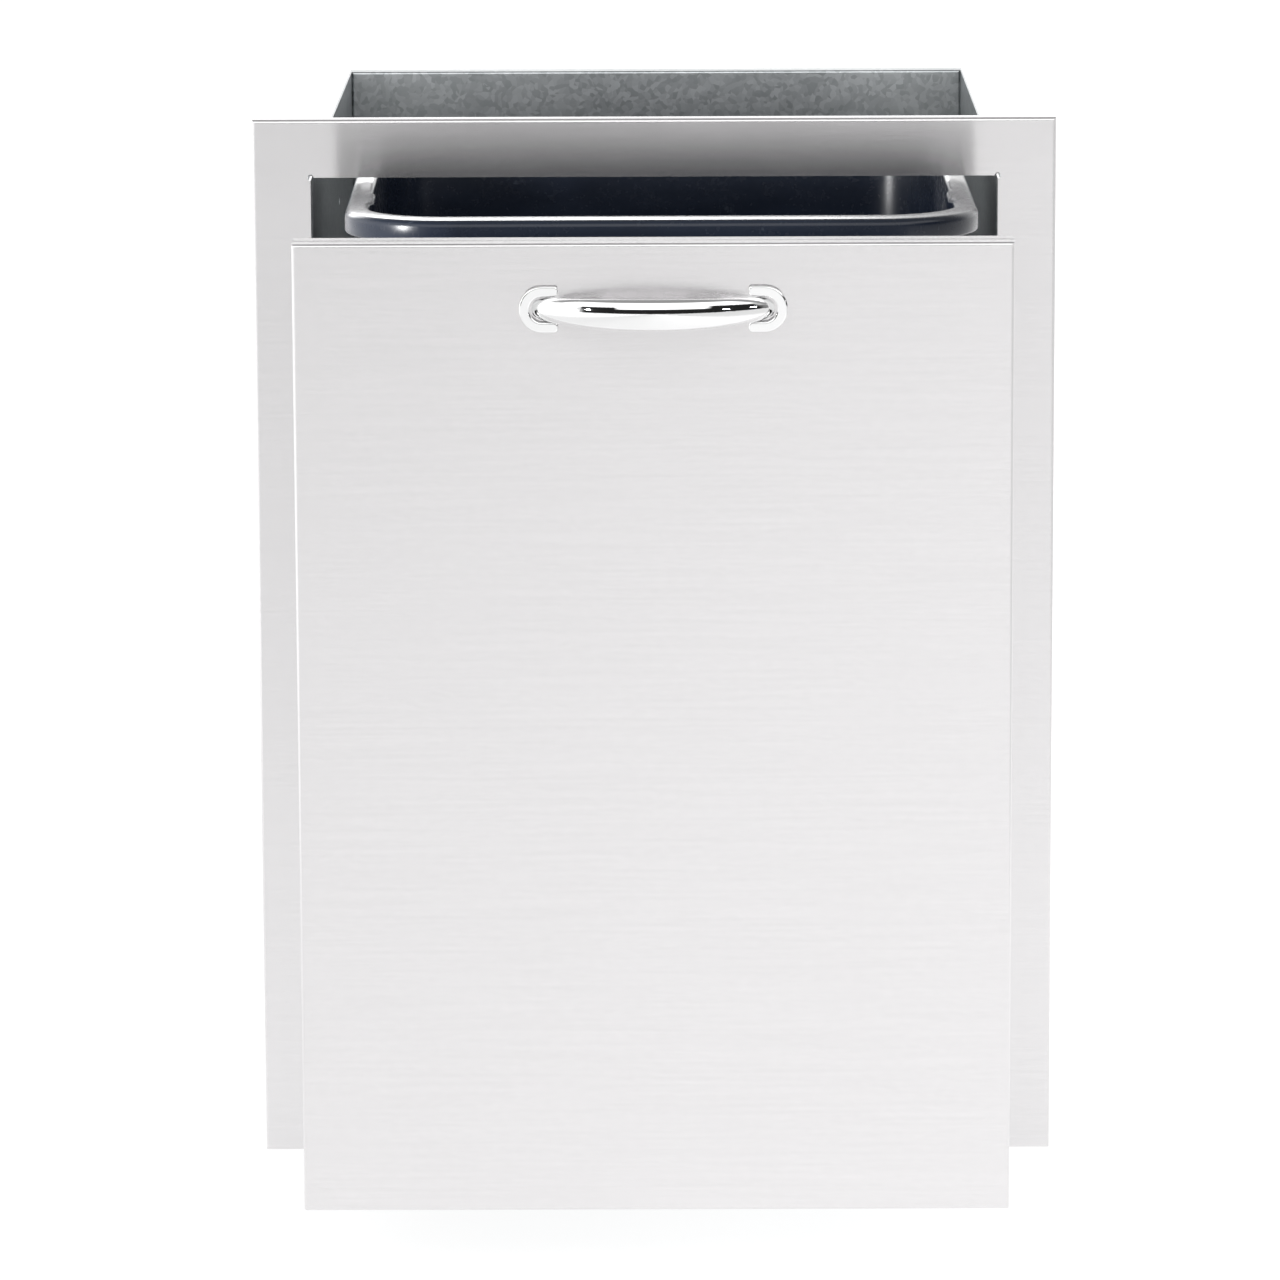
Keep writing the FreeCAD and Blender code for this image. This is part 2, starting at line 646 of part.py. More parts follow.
def make_carrier_side(name, side):
    """A side of the carrier: low beside the bin, rising to a gusset behind the drawer front."""
    body = new_body(f"carrier_{name}_side")
    outer = f"{side} * {CARRIER_HALF}"
    low, high = in_order(side, f"{side} * {CARRIER_INSIDE}", outer)
    outline = [
        (FRONT_REAR, "carrier_floor_level"),
        (CARRIER_REAR, "carrier_floor_level"),
        (CARRIER_REAR, "carrier_rear_top"),
        (f"{FRONT_REAR} + 3 * carrier_gusset_deep", "carrier_rear_top"),
        (f"{FRONT_REAR} + carrier_gusset_deep", "carrier_front_top"),
        (FRONT_REAR, "carrier_front_top"),
    ]
    extrude(body, "X", low, high, lambda sketch: draw_polygon(sketch, outline))
    across = in_order(side, f"{side} * ({CARRIER_HALF} - carrier_flange)", outer)
    block(body, across, (FRONT_REAR, f"{FRONT_REAR} + house_sheet"),
          ("carrier_floor_level + carrier_lip", "carrier_front_top"))
    holes = [(f"{side} * {CARRIER_SCREW_LINE}", level) for level in CARRIER_SCREW_LEVELS]
    drill(body, "Y", f"{FRONT_REAR} - 1", f"{FRONT_REAR} + 2 * house_sheet", holes, "screw_radius")
    rivets = [(station, "slide_level") for station in SLIDE_RIVET_STATIONS]
    rivets += [(station, CARRIER_RIVET_LEVEL) for station in CARRIER_RIVET_STATIONS]
    rivets += [(BRACE_RIVET_STATION, level) for level in BRACE_RIVET_LEVELS]
    drill(body, "X", *THROUGH_SIDES, rivets, "rivet_radius")
    pull_out(body)


CARRIER_RIVET_STATIONS = evenly(f"{FRONT_REAR} + 60", f"{CARRIER_REAR} - 60", 4)
CARRIER_RIVET_LEVEL = f"{FLOOR_TOP} + carrier_lip / 2"
BRACE_RIVET_STATION = f"{CARRIER_REAR} - house_sheet - carrier_lip / 2 - 1"
BRACE_RIVET_LEVELS = (f"{FLOOR_TOP} + 45", f"{FLOOR_TOP} + 85")


def make_carrier_floor():
    """The tray that the bin stands on, its side edges turned up against the carrier sides."""
    body = new_body("carrier_floor")
    front = f"{FRONT_REAR} + 2 * house_sheet"
    block(body, (f"-{CARRIER_INSIDE}", CARRIER_INSIDE), (front, CARRIER_REAR),
          ("carrier_floor_level", FLOOR_TOP))
    for side in (-1, 1):
        hem_inner = f"{side} * ({CARRIER_INSIDE} - house_sheet)"
        across = in_order(side, hem_inner, f"{side} * {CARRIER_INSIDE}")
        block(body, across, (front, f"{CARRIER_REAR} - carrier_flange - 4"),
              ("carrier_floor_level", f"{FLOOR_TOP} + carrier_lip"))
    spots = [(station, CARRIER_RIVET_LEVEL) for station in CARRIER_RIVET_STATIONS]
    drill(body, "X", *THROUGH_SIDES, spots, "rivet_radius")
    pull_out(body)


def make_carrier_back_brace():
    """The cross member at the carrier's rear, its ends bent forward inside the sides."""
    body = new_body("carrier_back_brace")
    rear, front = CARRIER_REAR, f"{CARRIER_REAR} - house_sheet - carrier_lip"
    outer, inner = CARRIER_INSIDE, f"({CARRIER_INSIDE} - house_sheet)"
    outline = [
        (f"-{outer}", front),
        (f"-{inner}", front),
        (f"-{inner}", f"{rear} - house_sheet"),
        (inner, f"{rear} - house_sheet"),
        (inner, front),
        (outer, front),
        (outer, rear),
        (f"-{outer}", rear),
    ]
    top = f"{FLOOR_TOP} + brace_tall"
    extrude(body, "Z", FLOOR_TOP, top, lambda sketch: draw_polygon(sketch, outline))
    spots = [(BRACE_RIVET_STATION, level) for level in BRACE_RIVET_LEVELS]
    drill(body, "X", *THROUGH_SIDES, spots, "rivet_radius")
    pull_out(body)


def make_carrier_rivets(name, side):
    """Rivets that hold the tray and the brace to one side of the carrier, heads outside."""
    outside = f"{side} * {CARRIER_HALF}"
    spots = [(outside, station, CARRIER_RIVET_LEVEL) for station in CARRIER_RIVET_STATIONS]
    spots += [(outside, BRACE_RIVET_STATION, level) for level in BRACE_RIVET_LEVELS]
    pull_out(rivet_group(f"{name}_carrier_rivets", spots, facing_side(side), "2 * house_sheet"))


def make_bin_stop(place, station, toward):
    """An angle across the tray that keeps the bin's base from sliding."""
    body = new_body(f"bin_stop_{place}")
    upright, flat = f"{station}", f"{station} + {toward} * bin_stop_tall"
    skin = f"{station} + {toward} * house_sheet"
    outline = [
        (upright, FLOOR_TOP),
        (flat, FLOOR_TOP),
        (flat, f"{FLOOR_TOP} + house_sheet"),
        (skin, f"{FLOOR_TOP} + house_sheet"),
        (skin, f"{FLOOR_TOP} + bin_stop_tall"),
        (upright, f"{FLOOR_TOP} + bin_stop_tall"),
    ]
    half = "bin_base_wide / 2 - 20"
    extrude(body, "X", f"-({half})", half, lambda sketch: draw_polygon(sketch, outline))
    pull_out(body)


def make_carrier_screws():
    """Screws through the carrier's front flanges into the drawer front's liner."""
    spots = [
        (f"{side} * {CARRIER_SCREW_LINE}", f"{FRONT_REAR} + house_sheet", level)
        for side in (-1, 1)
        for level in CARRIER_SCREW_LEVELS
    ]
    screws = fastener_group("carrier_screws", spots, FACING_REAR, "screw_radius",
                            "5 * house_sheet", "screw_head_radius", "screw_head_thick")
    pull_out(screws)


# ---------------------------------------------------------------- bin

def loft(body, subtract, low, high):
    """A taper between two rounded rectangles, each (level, half width, low, high, radius)."""
    sections = []
    for level, half_x, low_y, high_y, radius in (low, high):
        sketch = new_sketch(body, "Z", level)
        draw_rounded_rectangle(sketch, half_x, low_y, high_y, radius)
        sketch.Visibility = False
        sections.append(sketch)
    kind = "PartDesign::SubtractiveLoft" if subtract else "PartDesign::AdditiveLoft"
    feature = body.newObject(kind, f"{body.Label}_loft")
    feature.Profile = sections[0]
    feature.Sections = sections[1:]
    feature.Ruled = True
    doc.recompute()


def make_bin():
    """The lift-out bin: a tapered tub with round corners, a flat rim and a turned-down skirt."""
    body = new_body("bin")
    tall = f"(bin_level - {FLOOR_TOP})"
    mouth_half = "(bin_wide / 2 - rim_side)"
    mouth_low, mouth_high = "(rim_front - bin_deep / 2)", "(bin_deep / 2 - rim_side)"
    mouth_corner = "(bin_corner - rim_side)"
    base_half, base_reach = "(bin_base_wide / 2)", "(bin_base_deep / 2)"
    base_middle = "((rim_front - rim_side) / 2)"
    wall = "bin_wall"
    loft(body, False,
         ("0", base_half, f"{base_middle} - {base_reach}", f"{base_middle} + {base_reach}",
          "bin_base_corner"),
         (tall, f"{mouth_half} + {wall}", f"{mouth_low} - {wall}", f"{mouth_high} + {wall}",
          f"{mouth_corner} + {wall}"))
    skirt_low = f"{tall} - rim_skirt"
    extrude(body, "Z", skirt_low, tall, lambda sketch: draw_rounded_rectangle(
        sketch, "bin_wide / 2", "-bin_deep / 2", "bin_deep / 2", "bin_corner"))
    round_edges(body, "bin_wall * 0.8", lambda edge: lies_at(edge, "Z", tall))

    def draw_hollow(sketch):
        draw_rounded_rectangle(sketch, f"bin_wide / 2 - {wall}", f"{wall} - bin_deep / 2",
                               f"bin_deep / 2 - {wall}", f"bin_corner - {wall}")
        draw_rounded_rectangle(sketch, f"{mouth_half} + {wall}", f"{mouth_low} - {wall}",
                               f"{mouth_high} + {wall}", f"{mouth_corner} + {wall}")
    extrude(body, "Z", f"{skirt_low} - 1", f"{tall} - {wall}", draw_hollow, cut=True)
    loft(body, True,
         (f"1.2 * {wall}", f"{base_half} - {wall}", f"{base_middle} - {base_reach} + {wall}",
          f"{base_middle} + {base_reach} - {wall}", f"bin_base_corner - {wall}"),
         (f"{tall} + 0.01", mouth_half, mouth_low, mouth_high, mouth_corner))
    body.Placement.Rotation = Rotation(Vector(0, 0, 1), number_of("bin_turn"))
    body.setExpression("Placement.Base.x", bound("bin_offset"))
    body.setExpression("Placement.Base.y", bound("bin_front + bin_deep / 2 - drawer_pull"))
    body.setExpression("Placement.Base.z", bound(FLOOR_TOP))


# ---------------------------------------------------------------- handle

def make_horseshoe(name, side):
    """A chrome base plate shaped like a horseshoe, open towards the handle's middle."""
    body = new_body(f"{name}_handle_horseshoe")
    outer_end = f"{side} * (horseshoe_centre + horseshoe_radius)"
    slot_end = f"{side} * (horseshoe_centre + horseshoe_slot)"
    tip = f"{side} * (horseshoe_centre - horseshoe_leg)"
    slot_mouth = f"{side} * (horseshoe_centre - horseshoe_leg - 1)"
    depth = (f"{FRONT_FACE} - horseshoe_thick", FRONT_FACE)
    cut_depth = (f"{depth[0]} - 1", f"{depth[1]} + 1")

    def ends_at(formula):
        return lambda edge: runs_along(edge, "Y") and lies_at(edge, "X", formula)
    block(body, in_order(side, tip, outer_end), depth,
          (f"{HANDLE_LEVEL} - horseshoe_radius", f"{HANDLE_LEVEL} + horseshoe_radius"))
    round_edges(body, "horseshoe_radius - 0.02", ends_at(outer_end))
    block(body, in_order(side, slot_mouth, slot_end), cut_depth,
          (f"{HANDLE_LEVEL} - horseshoe_slot", f"{HANDLE_LEVEL} + horseshoe_slot"), cut=True)
    round_edges(body, "horseshoe_slot - 0.02", ends_at(slot_end))
    round_edges(body, "horseshoe_tip", ends_at(tip))
    round_edges(body, "horseshoe_edge", lambda edge: lies_at(edge, "Y", depth[0]))
    pull_out(body)


BOW_SECTIONS = 15
# The arc runs on behind the drawer's face, where its ends are cut off flush
BOW_OVERRUN = 1.12


def make_handle_bar():
    """The bow: an arc that rises out of the two horseshoes, tallest in the middle."""
    half, rise = number_of("handle_half"), number_of("handle_rise")
    arc_radius = (half ** 2 + rise ** 2) / (2 * rise)
    end_turn = math.asin(half / arc_radius) * BOW_OVERRUN
    level = number_of(HANDLE_LEVEL)
    face = number_of(FRONT_FACE)
    sections = []
    for index in range(BOW_SECTIONS):
        share = 2 * index / (BOW_SECTIONS - 1) - 1
        turn = share * end_turn
        fullness = 1 - share ** 2
        tall = number_of(f"handle_end_tall + {fullness} * (handle_mid_tall - handle_end_tall)")
        thick = number_of(f"handle_end_thick + {fullness} * (handle_mid_thick - handle_end_thick)")
        height = rise - arc_radius * (1 - math.cos(turn))
        centre = Vector(arc_radius * math.sin(turn), face - height, level)
        along = Vector(math.cos(turn), math.sin(turn), 0)
        upper = centre + Vector(0, 0, tall / 2)
        outward = centre + Vector(0, 0, 1).cross(along).multiply(thick / 2)
        sections.append(Part.Wire([Part.Ellipse(upper, outward, centre).toShape()]))
    bow = Part.makeLoft(sections, True, False)
    reach = 2 * half
    behind = Part.makeBox(2 * reach, reach, reach, Vector(-reach, face, level - reach / 2))
    bow = bow.cut(behind)
    deep = number_of(FOOT_HOLE_DEEP)
    for side in (-1, 1):
        spot = Vector(side * number_of("handle_pitch") / 2, face - deep, level)
        bow = bow.cut(Part.makeCylinder(number_of("rivet_radius"), deep + 1, spot, Vector(0, 1, 0)))
    handle = doc.addObject("Part::Feature", "handle_bar")
    handle.Label = "handle_bar"
    handle.Shape = bow.Solids[0]
    handle.Placement.Base = Vector(0, -number_of("drawer_pull"), 0)
    subparts.append(handle)


def make_handle_screws():
    """Two screws from inside the drawer front into the feet of the bow."""
    inside = f"{FRONT_FACE} + skin_thick"
    spots = [(f"{side} * handle_pitch / 2", inside, HANDLE_LEVEL) for side in (-1, 1)]
    screws = fastener_group("handle_screws", spots, FACING_REAR, "rivet_radius",
                            f"skin_thick + {FOOT_HOLE_DEEP}", "screw_head_radius", "screw_head_thick")
    pull_out(screws)


# ---------------------------------------------------------------- assembly

make_face_frame()
make_back_panel()
make_floor_pan()
for name, side in SIDES:
    make_side_panel(name, side)
    make_housing_rivets(name, side)
    make_stop_brackets(name, side)
    make_cabinet_member(name, side)
    make_middle_member(name, side)
    make_drawer_member(name, side)
    make_ball_cage(name, side, "outer", "outer_cage_start", "outer_cage_reach",
                   "outer_ball_line", OUTER_BALL_HEIGHT, 0.25)
    make_ball_cage(name, side, "inner", "inner_cage_start", "inner_cage_reach",
                   "inner_ball_line", INNER_BALL_HEIGHT, 0.75)
    make_carrier_side(name, side)
    make_carrier_rivets(name, side)
    make_horseshoe(name, side)
make_bumper_pads()
make_drawer_front()
make_drawer_liner()
make_carrier_floor()
make_carrier_back_brace()
make_carrier_screws()
make_bin_stop("front", f"{BASE_MIDDLE} - bin_base_deep / 2 - 3", -1)
make_bin_stop("rear", f"{BASE_MIDDLE} + bin_base_deep / 2 + 3", 1)
make_bin()
make_handle_bar()
make_handle_screws()

doc.recompute()
for item in doc.Objects:
    if {"Invalid", "Error"} & set(item.State):
        raise RuntimeError(f"{item.Label} failed: {item.State}")
os.makedirs("parts", exist_ok=True)
for piece in subparts:
    if piece.Shape.isNull() or not piece.Shape.isValid():
        raise RuntimeError(f"{piece.Label} has no valid shape")
    piece.Shape.exportStep(f"parts/{piece.Label}.step")
print(len(subparts), "sub-parts written")
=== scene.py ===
"""Looks for a built-in pull-out trash drawer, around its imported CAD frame."""

import math

import bpy
from mathutils import Matrix, Vector


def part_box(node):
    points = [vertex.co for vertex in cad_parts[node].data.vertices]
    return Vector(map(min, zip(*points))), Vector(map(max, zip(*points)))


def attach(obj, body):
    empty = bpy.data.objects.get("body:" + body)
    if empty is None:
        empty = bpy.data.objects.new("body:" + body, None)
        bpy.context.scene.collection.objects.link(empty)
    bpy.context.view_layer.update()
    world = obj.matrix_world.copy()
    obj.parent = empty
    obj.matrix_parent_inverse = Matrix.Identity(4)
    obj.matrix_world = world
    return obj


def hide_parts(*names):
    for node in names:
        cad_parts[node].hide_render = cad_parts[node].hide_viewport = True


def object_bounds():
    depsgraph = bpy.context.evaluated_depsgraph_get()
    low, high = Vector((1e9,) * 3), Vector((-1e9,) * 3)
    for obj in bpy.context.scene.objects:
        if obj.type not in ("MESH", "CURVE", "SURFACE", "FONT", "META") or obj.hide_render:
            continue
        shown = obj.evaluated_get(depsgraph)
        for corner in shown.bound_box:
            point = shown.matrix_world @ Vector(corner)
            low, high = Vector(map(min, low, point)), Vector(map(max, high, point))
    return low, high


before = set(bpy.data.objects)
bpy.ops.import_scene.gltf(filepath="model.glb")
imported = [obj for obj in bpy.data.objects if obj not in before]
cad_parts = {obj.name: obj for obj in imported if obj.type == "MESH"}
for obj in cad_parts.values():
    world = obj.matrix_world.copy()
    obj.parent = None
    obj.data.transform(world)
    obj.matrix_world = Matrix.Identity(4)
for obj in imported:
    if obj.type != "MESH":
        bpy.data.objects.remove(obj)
cad_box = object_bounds()


# ---------------------------------------------------------------- camera

CAMERA_PLACE = Vector((0.0118, -4.3402, 1.1739))
CAMERA_TILT = math.radians(10.95)
CAMERA_YAW = math.radians(-0.29)
CAMERA_ROLL = math.radians(-0.24)
LENS = 193.7


def add_camera():
    """A long lens a little above the drawer, level with its middle from side to side."""
    ahead = Vector((math.sin(CAMERA_YAW) * math.cos(CAMERA_TILT),
                    math.cos(CAMERA_YAW) * math.cos(CAMERA_TILT),
                    -math.sin(CAMERA_TILT)))
    level = Vector((math.cos(CAMERA_YAW), -math.sin(CAMERA_YAW), 0))
    upright = level.cross(ahead)
    right = level * math.cos(CAMERA_ROLL) + upright * math.sin(CAMERA_ROLL)
    up = upright * math.cos(CAMERA_ROLL) - level * math.sin(CAMERA_ROLL)
    data = bpy.data.cameras.new("camera")
    data.lens = LENS
    data.sensor_width = 36
    data.clip_end = 100
    camera = bpy.data.objects.new("camera", data)
    bpy.context.scene.collection.objects.link(camera)
    turn = Matrix((right, up, -ahead)).transposed().to_4x4()
    camera.matrix_world = Matrix.Translation(CAMERA_PLACE) @ turn
    bpy.context.scene.camera = camera


# ---------------------------------------------------------------- node helpers

class Surface:
    """A node-based material that is put together a node at a time."""

    def __init__(self, name, **values):
        self.material = bpy.data.materials.new(name)
        self.material.use_nodes = True
        self.tree = self.material.node_tree
        self.shader = self.tree.nodes["Principled BSDF"]
        self.place = self.node("ShaderNodeTexCoord").outputs["Object"]
        for socket, value in values.items():
            self.shader.inputs[socket.replace("_", " ")].default_value = value

    def node(self, kind, **settings):
        """A new node with the given settings."""
        made = self.tree.nodes.new(kind)
        for setting, value in settings.items():
            setattr(made, setting, value)
        return made

    def feed(self, node, **inputs):
        """Joins or sets a node's inputs by name."""
        for name, value in inputs.items():
            socket = node.inputs[name.replace("_", " ")]
            if isinstance(value, bpy.types.NodeSocket):
                self.tree.links.new(value, socket)
            else:
                socket.default_value = value
        return node

    def stretched(self, x, y, z):
        """The object's own coordinates, in metres, multiplied along each axis."""
        mapping = self.feed(self.node("ShaderNodeMapping"), Vector=self.place, Scale=(x, y, z))
        return mapping.outputs["Vector"]

    def noise(self, place, scale=1.0, detail=2.0, roughness=0.5):
        """Soft random values between 0 and 1."""
        made = self.feed(self.node("ShaderNodeTexNoise"), Vector=place, Scale=scale,
                         Detail=detail, Roughness=roughness)
        return made.outputs["Fac"]

    def cells(self, place, scale=1.0, randomness=1.0):
        """A different grey for each cell of a random cell pattern."""
        made = self.feed(self.node("ShaderNodeTexVoronoi"), Vector=place, Scale=scale,
                         Randomness=randomness)
        split = self.feed(self.node("ShaderNodeSeparateColor"), Color=made.outputs["Color"])
        return split.outputs["Red"]

    def spread(self, value, low, high, to_low, to_high):
        """The part of value from low to high, spread over to_low to to_high."""
        made = self.node("ShaderNodeMapRange")
        self.feed(made, Value=value, From_Min=low, From_Max=high, To_Min=to_low, To_Max=to_high)
        return made.outputs["Result"]

    def combine(self, first, second, operation="ADD"):
        """The sum of two values, or what another operation makes of them."""
        made = self.node("ShaderNodeMath", operation=operation)
        for socket, value in zip(made.inputs, (first, second)):
            if isinstance(value, bpy.types.NodeSocket):
                self.tree.links.new(value, socket)
            else:
                socket.default_value = value
        return made.outputs["Value"]

    def blend(self, share, first, second, kind="Color"):
        """A colour between first and second, or a vector where the kind is Vector."""
        made = self.node("ShaderNodeMix", data_type={"Color": "RGBA", "Vector": "VECTOR"}[kind])
        wanted = {"Factor_Float": share, f"A_{kind}": first, f"B_{kind}": second}
        for socket in made.inputs:
            value = wanted.get(socket.identifier)
            if isinstance(value, bpy.types.NodeSocket):
                self.tree.links.new(value, socket)
            elif value is not None:
                socket.default_value = value
        return next(s for s in made.outputs if s.identifier == f"Result_{kind}")

    def edges(self, share, radius):
        """The given share along rounded edges and 0 on flat faces: a mask that callers use to
        lighten edges, as rubbed wear and as painted highlight.
        """
        rounded = self.node("ShaderNodeBevel", samples=3)
        self.feed(rounded, Radius=radius)
        flat = self.node("ShaderNodeNewGeometry")
        facing = self.node("ShaderNodeVectorMath", operation="DOT_PRODUCT")
        self.tree.links.new(rounded.outputs["Normal"], facing.inputs[0])
        self.tree.links.new(flat.outputs["Normal"], facing.inputs[1])
        return self.spread(facing.outputs["Value"], 0.995, 0.9, 0, share)

    def bump(self, height, distance, strength=1.0):
        """Fine relief: how far, in metres, a height of 1 stands out."""
        made = self.node("ShaderNodeBump")
        self.feed(made, Height=height, Distance=distance, Strength=strength)
        self.tree.links.new(made.outputs["Normal"], self.shader.inputs["Normal"])

    def finish(self, **inputs):
        """Joins the shader's own inputs and gives the finished material."""
        self.feed(self.shader, **inputs)
        return self.material


def grey(level, warmth=0.0):
    """A nearly neutral colour, a little warmer or cooler."""
    return (level * (1 + warmth), level, level * (1 - warmth), 1)


# ---------------------------------------------------------------- materials

def stainless():
    """Stainless sheet with a fine grain from side to side and faint clouds in its polish."""
    metal = Surface("stainless", Metallic=0.84, Anisotropic=1.0, Anisotropic_Rotation=0.25)
    grain = metal.noise(metal.stretched(14, 1400, 1400), detail=3)
    streaks = metal.noise(metal.stretched(9, 420, 420), detail=2)
    clouds = metal.noise(metal.place, scale=11, detail=4)
    speckle = metal.noise(metal.stretched(160, 420, 420), detail=2)
    tone = metal.combine(metal.combine(streaks, clouds), speckle)
    colour = metal.blend(metal.spread(tone, 1.1, 1.9, 0, 1),
                         (0.753, 0.741, 0.748, 1), (0.790, 0.778, 0.785, 1))
    # Painted highlight: the rounded bends are mixed towards a paler grey, as if catching light.
    colour = metal.blend(metal.edges(0.5, 0.0006), colour, grey(0.86))
    rough = metal.spread(metal.combine(grain, clouds), 0.7, 1.3, 0.125, 0.155)
    metal.bump(metal.combine(grain, metal.combine(streaks, 0.3, "MULTIPLY")), 0.00001, 0.3)
    return metal.finish(Base_Color=colour, Roughness=rough)


def galvanised():
    """Zinc-coated sheet: overlapping crystals, dull patches, and edges made paler as rubbed wear
    and painted highlight.
    """
    metal = Surface("galvanised", Metallic=0.95)
    wander = metal.feed(metal.node("ShaderNodeTexNoise"), Vector=metal.place, Scale=60)
    bent = metal.blend(0.012, metal.place, wander.outputs["Color"], "Vector")
    crystals = metal.cells(bent, scale=290)
    patches = metal.noise(metal.place, scale=14, detail=5)
    grain = metal.noise(metal.place, scale=500, detail=3)
    tone = metal.combine(crystals, patches)
    colour = metal.blend(metal.spread(tone, 0.4, 1.6, 0, 1),
                         (0.40, 0.425, 0.435, 1), (0.60, 0.625, 0.635, 1))
    # Edges lightened: partly rubbed wear, partly painted highlight.
    colour = metal.blend(metal.edges(0.5, 0.0005), colour, grey(0.75))
    rough = metal.spread(metal.combine(crystals, patches), 0.2, 1.4, 0.28, 0.31)
    metal.bump(grain, 0.00001, 0.2)
    return metal.finish(Base_Color=colour, Roughness=rough)


def mill_sheet():
    """Pale, dull zinc sheet of the drawer front's inner pan."""
    metal = Surface("mill_sheet", Metallic=0.35)
    rolled = metal.noise(metal.stretched(30, 500, 500), detail=3)
    patches = metal.noise(metal.place, scale=18, detail=4)
    colour = metal.blend(patches, (0.50, 0.51, 0.51, 1), (0.62, 0.62, 0.61, 1))
    # Edges lightened: partly rubbed wear, partly painted highlight.
    colour = metal.blend(metal.edges(0.5, 0.0005), colour, grey(0.86))
    rough = metal.spread(metal.combine(rolled, patches), 0.6, 1.4, 0.35, 0.5)
    metal.bump(rolled, 0.00001, 0.3)
    return metal.finish(Base_Color=colour, Roughness=rough)


def chrome():
    """Bright chrome plate with hair-fine polishing marks."""
    metal = Surface("chrome", Metallic=1.0)
    marks = metal.noise(metal.stretched(40, 900, 900), detail=3)
    haze = metal.noise(metal.place, scale=80, detail=3)
    colour = metal.blend(haze, grey(0.84), grey(0.89, -0.002))
    rough = metal.spread(metal.combine(marks, haze), 0.6, 1.4, 0.02, 0.07)
    metal.bump(marks, 0.000002, 0.15)
    return metal.finish(Base_Color=colour, Roughness=rough)


def bin_plastic():
    """Dark blue-grey moulded polyethylene, glossy, with faint flow marks and scuffs."""
    plastic = Surface("bin_plastic", IOR=1.35, Coat_Weight=1.0, Coat_IOR=1.2,
                      Coat_Roughness=0.26)
    flow = plastic.noise(plastic.stretched(9, 9, 40), detail=3)
    scuffs = plastic.noise(plastic.stretched(70, 500, 90), detail=4, roughness=0.7)
    peel = plastic.noise(plastic.place, scale=260, detail=2)
    colour = plastic.blend(plastic.spread(flow, 0.35, 0.7, 0, 1),
                           (0.006, 0.009, 0.017, 1), (0.011, 0.0155, 0.027, 1))
    colour = plastic.blend(plastic.spread(scuffs, 0.66, 0.8, 0, 0.3), colour,
                           (0.10, 0.12, 0.15, 1))
    rough = plastic.spread(plastic.combine(scuffs, peel), 0.7, 1.3, 0.2, 0.3)
    plastic.bump(peel, 0.00001, 0.2)
    return plastic.finish(Base_Color=colour, Roughness=rough)


def slide_zinc():
    """Bright zinc plate on the slides, drawn lengthwise, with a film of grease."""
    metal = Surface("slide_zinc", Metallic=1.0)
    drawn = metal.noise(metal.stretched(700, 10, 700), detail=3)
    film = metal.noise(metal.place, scale=35, detail=4)
    colour = metal.blend(film, (0.60, 0.62, 0.65, 1), (0.74, 0.75, 0.74, 1))
    # Edges lightened: partly rubbed wear, partly painted highlight.
    colour = metal.blend(metal.edges(0.5, 0.0004), colour, grey(0.84))
    rough = metal.spread(metal.combine(drawn, film), 0.6, 1.4, 0.2, 0.38)
    metal.bump(drawn, 0.00002, 0.3)
    return metal.finish(Base_Color=colour, Roughness=rough)


def ball_steel():
    """Hardened, polished steel with a smear of grease."""
    metal = Surface("ball_steel", Metallic=1.0)
    smear = metal.noise(metal.place, scale=400, detail=3)
    colour = metal.blend(smear, grey(0.66), grey(0.80))
    rough = metal.spread(smear, 0.3, 0.7, 0.06, 0.22)
    metal.bump(smear, 0.000005, 0.2)
    return metal.finish(Base_Color=colour, Roughness=rough)


def fastener_steel():
    """Plain steel of screws and rivets, with marks from driving and setting."""
    metal = Surface("fastener_steel", Metallic=1.0)
    marks = metal.noise(metal.place, scale=900, detail=4)
    stain = metal.noise(metal.place, scale=120, detail=3)
    colour = metal.blend(stain, grey(0.56, 0.01), grey(0.72))
    # Edges lightened: partly rubbed wear, partly painted highlight.
    colour = metal.blend(metal.edges(0.6, 0.0003), colour, grey(0.85))
    rough = metal.spread(metal.combine(marks, stain), 0.6, 1.4, 0.22, 0.42)
    metal.bump(marks, 0.00001, 0.3)
    return metal.finish(Base_Color=colour, Roughness=rough)


def pad_rubber():
    """Soft grey rubber with a dusty bloom."""
    rubber = Surface("pad_rubber", IOR=1.5)
    bloom = rubber.noise(rubber.place, scale=220, detail=4)
    grain = rubber.noise(rubber.place, scale=2200, detail=2)
    colour = rubber.blend(bloom, (0.03, 0.03, 0.032, 1), (0.075, 0.075, 0.078, 1))
    rough = rubber.spread(bloom, 0.3, 0.7, 0.55, 0.75)
    rubber.bump(grain, 0.00004, 0.3)
    return rubber.finish(Base_Color=colour, Roughness=rough)


def floor_paint():
    """A plain pale studio floor, lit a little from within so that shadows stay faint."""
    paint = Surface("floor_paint", Emission_Color=(1, 1, 1, 1))
    mottle = paint.noise(paint.place, scale=3, detail=3)
    colour = paint.blend(mottle, grey(0.25), grey(0.27))
    rough = paint.spread(mottle, 0.3, 0.7, 0.6, 0.7)
    # Painted light: the floor's glow rises to the right and towards the object, is brighter far to
    # the left and dimmer far to the right, standing in for light from the sides that the metal's
    # bends reflect.
    split = paint.feed(paint.node("ShaderNodeSeparateXYZ"), Vector=paint.place)
    across = paint.spread(split.outputs["X"], -0.8, 0.8, -0.13, 0.13)
    along = paint.spread(split.outputs["Y"], -5, 0, 0.74, 0.86)
    left = paint.spread(split.outputs["X"], -1.2, -1.8, 0, 0.3)
    right = paint.spread(split.outputs["X"], 1.2, 1.8, 0, -0.35)
    glow = paint.combine(paint.combine(across, along), paint.combine(left, right))
    return paint.finish(Base_Color=colour, Roughness=rough, Emission_Strength=glow)


# ---------------------------------------------------------------- meshes

